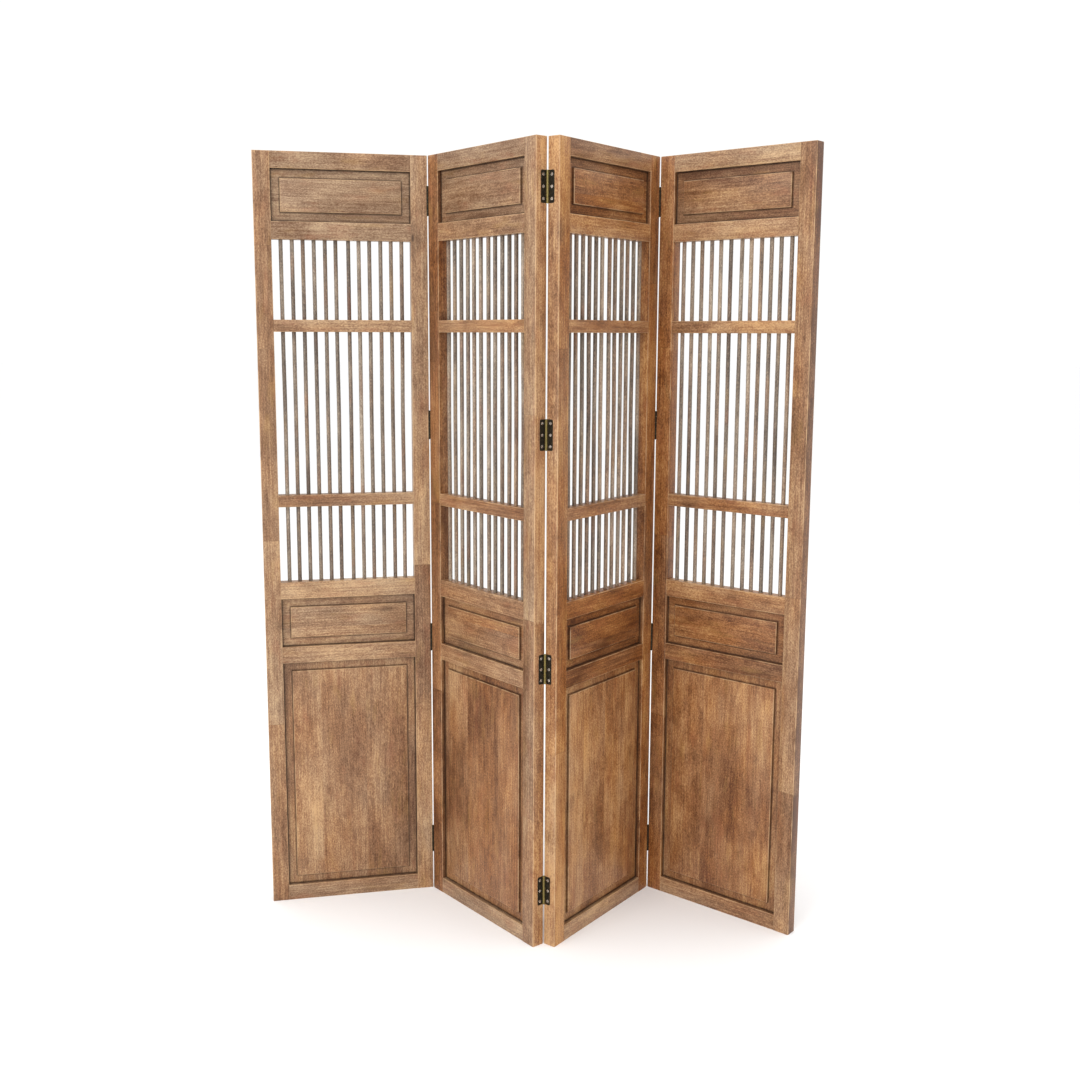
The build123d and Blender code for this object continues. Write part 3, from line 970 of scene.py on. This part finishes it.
@dataclass
class Panel:
    """One panel: frame, raised panels and dowel lattice."""

    place: PanelPlace
    sizes: Sizes
    palette: Palette
    # Tone and warmth of each piece: the wood's own shade together with painted shade and light.
    tone_and_painted_shade: dict[str, Pair]
    stile_joints: dict[str, tuple[float, ...]]
    board_edges: tuple[float, ...]
    hinge_faces: dict[str, str]
    end_shifts: dict[str, Pair]
    stile_lifts: dict[str, tuple[float, ...]]
    glaze_and_shade_depths: GlazeAndShadeDepths = GlazeAndShadeDepths()

    RAISED = ("bottom_panel", "middle_panel", "frieze_panel")
    RAILS = ("bottom_rail", "middle_rail", "sill_rail", "frieze_rail", "top_rail")

    def node(self, part: str) -> str:
        """The CAD node's name of one of this panel's parts."""
        return f"panel_{self.place.number}_{part}"

    def blocks(self, part: str, run: Grain, **joins) -> Blocks:
        """The blocks that one part is glued up from.

        Args:
            part: the part's name.
            run: the way that its grain runs.
            **joins: where its blocks meet, and how much they differ.

        Returns:
            The blocks, in the tone and warmth given for the part, which hold painted shade and
            light as well as the wood's own shade.
        """
        tone, warmth = self.tone_and_painted_shade[part]
        return Blocks(run, f"{self.place.number}/{part}", tone, warmth, **joins)

    def opening(self, part: str) -> Level:
        """The opening that a raised panel fills."""
        return Level.of_node(self.node(part), self.sizes.tongue)

    def recess_glaze_and_shade(self, corner: Vector, middle: Vector) -> float:
        """Depth of the dark glaze and painted shade on the walls of a recess.

        Args:
            corner: a corner of a face of the frame.
            middle: that face's middle.

        Returns:
            0 in the open, rising to the foot of the recess.
        """
        depth = min(corner.y, self.sizes.thickness - corner.y)
        inner = min(middle.y, self.sizes.thickness - middle.y)
        if inner < 2 * TOUCH or inner > self.sizes.sunk:
            return 0.0
        return min(2 * depth / self.sizes.sunk, 1.0) * self.glaze_and_shade_depths.recess_wall

    def stile(self, end: str) -> None:
        """Build a full-height stile.

        Args:
            end: the end of the panel that it stands at, left or right.
        """
        sizes = self.sizes
        level = Level.of_node(self.node(f"{end}_stile"))
        at_left = end == "left"
        low_x = 0.0 if at_left else sizes.inner_right
        outer_x, inner_x = (0.0, sizes.inner_left) if at_left else (sizes.width, sizes.inner_right)
        hinge_face = self.hinge_faces.get(end)
        pins_in_front = hinge_face == "front"

        def outer(at: Vector, way: Vector) -> bool:
            """The long corners of the end face."""
            return abs(way.z) > ALONG and near(at.x, outer_x)

        def beside_pins(at: Vector) -> bool:
            """The corner beside pins that stand in front."""
            return pins_in_front and near(at.y, 0.0)

        timber = Timber().slab((low_x, 0, level.low),
                               (low_x + sizes.stile, sizes.thickness, level.high))
        timber.round_edges(
            sizes.outer_arris, lambda at, way: outer(at, way) and not beside_pins(at), 3)
        if pins_in_front:
            timber.round_edges(
                sizes.hinge_arris, lambda at, way: outer(at, way) and beside_pins(at))
        timber.round_edges(
            sizes.inner_arris, lambda at, way: abs(way.z) > ALONG and near(at.x, inner_x))
        timber.round_edges(sizes.inner_arris,
                           lambda at, way: abs(way.z) < SQUARE and at.z > level.high - TOUCH)
        openings = [self.opening(part) for part in self.RAISED]
        for opening in openings:
            timber.cut(UPRIGHT_AXIS, opening.low, opening.high)
        timber.cut(DEPTH_AXIS, sizes.sunk, sizes.thickness - sizes.sunk)
        if hinge_face:
            HingeSeats(outer_x, -1 if at_left else 1, pins_in_front, sizes.thickness).cut(timber)

        def glaze_and_shade(corner: Vector, middle: Vector) -> float:
            """Glaze and paint shade only on the inner face, beside the raised panels."""
            beside = any(opening.low < middle.z < opening.high for opening in openings)
            on_inner_face = abs(middle.x - inner_x) < FLUSH
            return self.recess_glaze_and_shade(corner, middle) if beside and on_inner_face else 0.0

        blocks = self.blocks(f"{end}_stile", Grain.UPRIGHT, ends=self.stile_joints[end],
                             lifts=self.stile_lifts.get(end, ()), end_face=outer_x,
                             end_shift=self.end_shifts.get(end, (0.0, 0.0)))
        timber.finish(self.node(f"{end}_stile"), self.place, blocks, self.palette.frame_wood,
                      "frame_wood", glaze_and_shade)

    def rail_timber(self, level: Level) -> Timber:
        """Shape one rail between the stiles.

        Args:
            level: where its lower and upper edges lie.

        Returns:
            The rail's shape.
        """
        sizes = self.sizes
        rail = Timber().slab((sizes.inner_left, 0, level.low),
                             (sizes.inner_right, sizes.thickness, level.high))
        rail.round_edges(sizes.inner_arris, lambda at, way: abs(way.x) > ALONG)
        return rail.cut(DEPTH_AXIS, sizes.sunk, sizes.thickness - sizes.sunk)

    def rail(self, part: str) -> None:
        """Build a rail beside a raised panel, with glaze and painted shade on the edges that face
        one.

        Args:
            part: the rail's name.
        """
        openings = [self.opening(name) for name in self.RAISED]

        def glaze_and_shade(corner: Vector, middle: Vector) -> float:
            """Glaze and paint shade only on the edges that meet a raised panel."""
            meets = any(abs(middle.z - edge) < FLUSH for opening in openings
                        for edge in (opening.low, opening.high))
            return self.recess_glaze_and_shade(corner, middle) if meets else 0.0

        timber = self.rail_timber(Level.of_node(self.node(part)))
        timber.finish(self.node(part), self.place, self.blocks(part, Grain.LEVEL),
                      self.palette.frame_wood, "frame_wood", glaze_and_shade)

    def lattice_rails(self, levels: tuple[Level, Level]) -> None:
        """Build the two narrow rails that the dowels run through.

        Args:
            levels: where the lower and the upper one lie.
        """
        timber = self.rail_timber(levels[0]).join(self.rail_timber(levels[1]))
        between = (levels[0].middle + levels[1].middle) / 2
        blocks = self.blocks("lattice", Grain.LEVEL, edges=(between,))
        timber.finish(self.node("lattice_rails"), self.place, blocks, self.palette.frame_wood,
                      "frame_wood")

    def raised_panel(self, part: str) -> None:
        """Build a panel whose field stands up from a sunk border on both faces, with glaze and
        painted shade in its corners.

        Args:
            part: the panel's name.
        """
        sizes, glaze_and_shade_depths = self.sizes, self.glaze_and_shade_depths
        level = Level.of_node(self.node(part))
        timber = Timber().slab(
            (sizes.inner_left - sizes.tongue, sizes.sunk, level.low),
            (sizes.inner_right + sizes.tongue, sizes.thickness - sizes.sunk, level.high))
        line, fade, foot = glaze_and_shade_depths.line, glaze_and_shade_depths.fade, sizes.border
        proud = (sizes.field - sizes.groove) / 2
        wall = proud - sum(rise for _, rise in sizes.field_round)
        flat_steps = (sizes.tongue, line, fade, foot - 2 * (line + fade), fade, line)
        steps = (*((width, 0.0) for width in flat_steps), (sizes.field_wall, wall),
                 *sizes.field_round)
        for side in (-1, 1):

            def broadness(face: bmesh.types.BMFace) -> float:
                """Highest for the outermost face nearest the panel's middle."""
                middle = face.calc_center_median()
                return (middle.y * side * 1000 - abs(middle.x - sizes.width / 2)
                        - abs(middle.z - level.middle))

            for thickness, depth in steps:
                timber.mesh.faces.ensure_lookup_table()
                facing = (face for face in timber.mesh.faces if face.normal.y * side > ALONG)
                bmesh.ops.inset_individual(timber.mesh, faces=[max(facing, key=broadness)],
                                           thickness=thickness, depth=depth, use_even_offset=True)
        opening = self.opening(part)

        def glaze_and_shade(corner: Vector, middle: Vector) -> float:
            """Dark glaze and painted shade in the corner under the frame, in the line round the
            field and on the field's walls.

            Args:
                corner: a corner of one of the panel's faces.
                middle: that face's middle.

            Returns:
                The depth of the glaze and painted shade there, 0 to 1.
            """
            from_frame = min(corner.x - sizes.inner_left, sizes.inner_right - corner.x,
                             corner.z - opening.low, opening.high - corner.z)
            if from_frame < foot - TOUCH:
                reach = max(from_frame, 0.0)
                by_frame = reach < foot / 2
                strength = glaze_and_shade_depths.under_frame if by_frame else glaze_and_shade_depths.round_field
                nearest = reach if by_frame else foot - reach
                wash_and_shade = glaze_and_shade_depths.wash_and_shade + glaze_and_shade_depths.wash_and_shade_at_frame * (1 - reach / foot)
                return max(wash_and_shade, strength * (1 - max(0.0, nearest - line) / fade))
            depth = min(corner.y, sizes.thickness - corner.y)
            on_wall = (depth - (sizes.thickness - sizes.field) / 2) / proud
            return max(0.0, min(1.0, 2 * on_wall)) * glaze_and_shade_depths.field_edge

        if part == "bottom_panel":
            run, edges = Grain.UPRIGHT, self.board_edges
        else:
            run = Grain.LEVEL
            edges = (level.middle + sizes.board_offset * (-1) ** self.place.number,)
        timber.finish(self.node(part), self.place, self.blocks(part, run, edges=edges),
                      self.palette.panel_wood, "raised_panel_wood", glaze_and_shade)

    def build(self, lattice: "Lattice") -> None:
        """Build every timber piece of the panel.

        Args:
            lattice: the dowels, which also place the lattice rails.
        """
        for end in ("left", "right"):
            self.stile(end)
        for part in self.RAILS:
            self.rail(part)
        for part in self.RAISED:
            self.raised_panel(part)
        self.lattice_rails(lattice.rail_levels(self))
        lattice.dowels(self)
        LOG.info("panel %d: stiles, rails, raised panels and lattice", self.place.number)


@dataclass
class Lattice:
    """Round dowels that run through two narrow rails, each a little out of true."""

    rail_height: float = 28 * MM
    per_half: int = 6
    pitch: float = 25 * MM
    margin: float = 20.7 * MM
    sides: int = 18
    lengths: int = 24
    wander: float = 0.7 * MM
    bow: float = 1.1 * MM
    tone_spread: float = 0.3
    smooth: float = 60.0

    def rail_levels(self, panel: Panel) -> tuple[Level, Level]:
        """Levels of the two lattice rails, from the box round them both."""
        low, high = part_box(panel.node("lattice_rails"))
        bottom, top = low[2], high[2]
        return Level(bottom, bottom + self.rail_height), Level(top - self.rail_height, top)

    def axes(self, panel: Panel) -> list[float]:
        """Distances of the dowels' axes from the panel's left end."""
        half = [self.margin + step * self.pitch for step in range(self.per_half)]
        opening = panel.sizes.inner_right - panel.sizes.inner_left
        return [panel.sizes.inner_left + at for at in half + [opening - at for at in half]]

    def stick(self, panel: Panel, index: int, x: float) -> Timber:
        """Turn one dowel, a little leant and bowed.

        Args:
            panel: the panel that it stands in.
            index: its number, from the left.
            x: its distance from the panel's left end.

        Returns:
            The dowel's shape.
        """
        level = Level.of_node(panel.node("dowels"))
        lower, upper = self.rail_levels(panel)
        chance = random.Random(f"{panel.place.number}/dowel/{index}")
        length = level.high - level.low
        start = Matrix.Translation((x, panel.sizes.thickness / 2, level.middle))
        stick = Timber().rod(panel.sizes.dowel / 2, length, self.sides,
                             start @ Matrix.Rotation(chance.random(), 4, "Z"))
        stick.cut(UPRIGHT_AXIS, *(level.low + length * step / self.lengths
                                  for step in range(1, self.lengths)))
        leans = [self.askew(chance) * self.wander for _ in range(2)]
        bend = self.askew(chance) * self.bow
        for vertex in stick.mesh.verts:
            share = (vertex.co.z - level.low) / length
            tall = (vertex.co.z - lower.high) / (upper.low - lower.high)
            vertex.co += leans[0] * (1 - share) + leans[1] * share
            if 0 < tall < 1:
                vertex.co += bend * math.sin(math.pi * tall) ** 2
        return stick

    @staticmethod
    def askew(chance: random.Random) -> Vector:
        """Pick a level direction at random."""
        return Vector((chance.uniform(-1, 1), chance.uniform(-1, 1), 0))

    def dowels(self, panel: Panel) -> None:
        """Turn the panel's dowels as one piece.

        Args:
            panel: the panel that they stand in.
        """
        timber = Timber()
        places = sorted(self.axes(panel))
        for index, x in enumerate(places):
            timber.join(self.stick(panel, index, x))
        between = tuple((first + second) / 2 for first, second in zip(places, places[1:]))
        blocks = DowelBlocks(Grain.UPRIGHT, f"{panel.place.number}/dowels",
                             *panel.tone_and_painted_shade["dowels"], edges=between,
                             tone_spread=self.tone_spread)
        timber.finish(panel.node("dowels"), panel.place, blocks, panel.palette.dowel_wood,
                      "dowel_wood", smooth=self.smooth, wear_and_highlight=0.0)


@dataclass(frozen=True)
class DowelBlocks(Blocks):
    """One block a dowel, with nothing to cut between them."""

    def cuts(self) -> list[tuple[int, float]]:
        """The dowels already stand apart."""
        return []


@dataclass
class Hinges:
    """The hinges keep their CAD shapes and are dressed in worn metal."""

    # Brass for the pins and the centre fold's barrels; its light shade there is partly a painted
    # highlight.
    brass: Colour = stain(176, 156, 92)
    # The fold whose barrels are drawn bright, partly rubbed brass and partly a painted highlight.
    rubbed_and_lit_fold: str = "centre_fold"

    def finishes(self) -> dict[str, WornMetal]:
        """Pick the metals.

        Returns:
            The metal of each kind of part, by the last word of its node's name.
        """
        axis = next(tuple(joint["pos_m"][:2]) for joint in frame["joints"]
                    if joint["name"] == self.rubbed_and_lit_fold)
        return {
            "leaves": WornMetal("bronzed_leaf", stain(36, 31, 26), self.brass, stain(20, 18, 15),
                                metallic=0.75, roughness=0.42, wear_share=0.3, rubbed_and_lit_axis=axis),
            "pins": WornMetal("brass_pin", self.brass, stain(206, 186, 120), stain(120, 100, 54),
                              roughness=0.32),
            "screws": WornMetal("bright_screw", stain(222, 220, 214), stain(244, 242, 238),
                                stain(176, 172, 164), roughness=0.24)}

    def dress(self) -> None:
        """Give every leaf, pin and screw its finish."""
        materials = {kind: metal.material() for kind, metal in self.finishes().items()}
        for name, piece in frame["nodes"].items():
            kind = name.rsplit("_", 1)[-1]
            if kind in materials:
                piece.data.materials.clear()
                piece.data.materials.append(materials[kind])
        LOG.info("hinges dressed")


# --- Studio -------------------------------------------------------------------------------
@dataclass(frozen=True)
class Softbox:
    """One large square light: where it hangs, what it points at, its side and its watts."""

    name: str
    place: tuple[float, float, float]
    aim: tuple[float, float, float]
    size: float
    power: float

    def hang(self) -> None:
        """Put the light into the scene."""
        light = bpy.data.lights.new(self.name, "AREA")
        light.size = self.size
        light.energy = self.power
        lamp = add_object(self.name, light)
        lamp.location = self.place
        aim = Vector(self.aim) - Vector(self.place)
        lamp.rotation_euler = aim.to_track_quat("-Z", "Y").to_euler()


@dataclass(frozen=True)
class Studio:
    """Pale floor, soft light and the camera."""

    lens: float = 40.90
    sensor: float = 36.0
    camera_place: tuple[float, float, float] = (-0.0004, -2.8049, 1.3910)
    look_down: float = 8.72
    roll: float = 0.186
    shift: Pair = (0.0117, -0.0165)
    floor_radius: float = 60.0
    floor_grey: float = 0.97
    floor_roughness: float = 0.8
    floor_specular: float = 0.1
    sky: float = 1.04
    softboxes: tuple[Softbox, ...] = (
        Softbox("key", (-2.4, -3.4, 3.0), (0, 0, 0.9), 2.6, 70.0),
        Softbox("overhead", (0.0, -0.6, 4.4), (0, 0, 0), 4.0, 60.0))

    def floor(self) -> None:
        """Lay a wide pale floor."""
        wiring = Wiring("pale_floor")
        wiring.surface({"Base Color": (*[self.floor_grey] * 3, 1.0),
                        "Roughness": self.floor_roughness,
                        "Specular IOR Level": self.floor_specular})
        shape = bmesh.new()
        bmesh.ops.create_circle(shape, cap_ends=True, radius=self.floor_radius, segments=64)
        mesh = bpy.data.meshes.new("floor")
        shape.to_mesh(mesh)
        shape.free()
        mesh.materials.append(wiring.material)
        add_object("floor", mesh)

    def camera(self) -> None:
        """Stand the camera at eye height, looking a little down."""
        data = bpy.data.cameras.new("camera")
        data.lens = self.lens
        data.sensor_width = self.sensor
        data.shift_x, data.shift_y = self.shift
        camera = add_object("camera", data)
        tilt = Matrix.Rotation(math.radians(90 - self.look_down), 4, "X")
        turn = Matrix.Rotation(math.radians(self.roll), 4, "Z")
        camera.matrix_world = Matrix.Translation(self.camera_place) @ tilt @ turn
        bpy.context.scene.camera = camera

    def build(self) -> None:
        """Set up the floor, the sky, the lights and the camera."""
        scene = bpy.context.scene
        scene.view_settings.view_transform = "Standard"
        self.floor()
        scene.world = bpy.data.worlds.new("studio")
        scene.world.use_nodes = True
        background = scene.world.node_tree.nodes["Background"]
        background.inputs["Color"].default_value = (1, 1, 1, 1)
        background.inputs["Strength"].default_value = self.sky
        for softbox in self.softboxes:
            softbox.hang()
        self.camera()
        LOG.info("studio ready")


# Tone and warmth given to each piece of the four panels, from left to right: partly the wood
# picked for it, partly painted shade and light, with darker, warmer pieces by the valley folds.
WOOD_TONE_AND_PAINTED_SHADE = {
    "left_stile": ((0.00, 0.35), (-0.35, 0.75), (0.25, 0.95), (0.00, 0.90)),
    "right_stile": ((0.15, 0.30), (-0.05, 0.20), (-0.05, 0.95), (0.15, 0.40)),
    "top_rail": ((-0.15, 0.00), (-0.20, 0.00), (-0.50, 0.40), (0.45, 0.25)),
    "frieze_rail": ((0.15, 0.00), (-0.25, 0.40), (-0.15, 0.90), (0.20, 0.40)),
    "lattice": ((0.00, 0.30), (0.00, 0.60), (0.00, 0.80), (0.20, 0.60)),
    "sill_rail": ((0.65, 0.20), (-0.30, 0.40), (0.05, 1.00), (0.35, 0.75)),
    "middle_rail": ((0.35, 0.25), (0.05, 0.50), (-0.60, 1.00), (-0.60, 0.80)),
    "bottom_rail": ((0.05, 0.25), (-0.10, 0.15), (0.15, 0.40), (-0.10, 0.40)),
    "frieze_panel": ((-0.05, 0.00), (-0.35, 0.20), (-0.20, 0.85), (-0.27, 0.40)),
    "middle_panel": ((0.25, 0.25), (-0.12, 0.60), (-0.15, 0.95), (-0.05, 0.80)),
    "bottom_panel": ((0.15, 0.40), (-0.27, 0.65), (0.30, 0.80), (0.17, 0.70)),
    "dowels": ((-0.30, 0.0), (-0.20, 0.05), (-0.20, 0.15), (-0.20, 0.05)),
}
# Heights at which the blocks of the stiles meet.
STILE_JOINTS = {
    1: {"left": (0.448, 0.900, 1.350, 1.585), "right": (0.380, 0.830, 1.290)},
    2: {"left": (0.520, 0.985, 1.440), "right": (0.300, 0.760, 1.215)},
    3: {"left": (0.455, 0.905, 1.355), "right": (0.610, 1.060, 1.505)},
    4: {"left": (0.455, 0.905, 1.355), "right": (0.340, 0.800, 1.250)},
}
# The face on which the pins stand at each hinged end of a panel.
HINGE_FACES = {
    1: {"right": "front"}, 2: {"left": "front", "right": "rear"},
    3: {"left": "rear", "right": "front"}, 4: {"left": "front"},
}
# Painted light and shade on a stile's end face: how much lighter or darker, and warmer or cooler,
# it is drawn than the rest of it.
PAINTED_END_LIGHT_AND_SHADE = {
    1: {}, 2: {"right": (0.45, 0.45)}, 3: {"left": (0.1, -0.35)}, 4: {"right": (-0.8, 0.15)},
}
# How much lighter the blocks of a stile are than its tone, from the lowest up.
STILE_LIFTS = {1: {"right": (0.3,)}, 2: {}, 3: {"left": (0.65,)}, 4: {"right": (-0.25,)}}
# Where the boards of each bottom panel meet, from the panel's left end.
BOARD_EDGES = {1: (0.128, 0.236), 2: (0.141, 0.262), 3: (0.118, 0.205, 0.291), 4: (0.150, 0.270)}


def main() -> None:
    """Build the screen and its studio in order."""
    logging.basicConfig(level=logging.INFO, format="%(name)s: %(message)s")
    Studio().build()
    sizes = Sizes()
    palette = Palette()
    lattice = Lattice()
    for number in PANELS:
        place = PanelPlace.find(number, sizes)
        tone_and_painted_shade = {part: picked[number - 1] for part, picked in WOOD_TONE_AND_PAINTED_SHADE.items()}
        Panel(place, sizes, palette, tone_and_painted_shade, STILE_JOINTS[number],
              BOARD_EDGES[number], HINGE_FACES[number], PAINTED_END_LIGHT_AND_SHADE[number],
              STILE_LIFTS[number]).build(lattice)
    Hinges().dress()


if __name__ == "__main__":
    main()
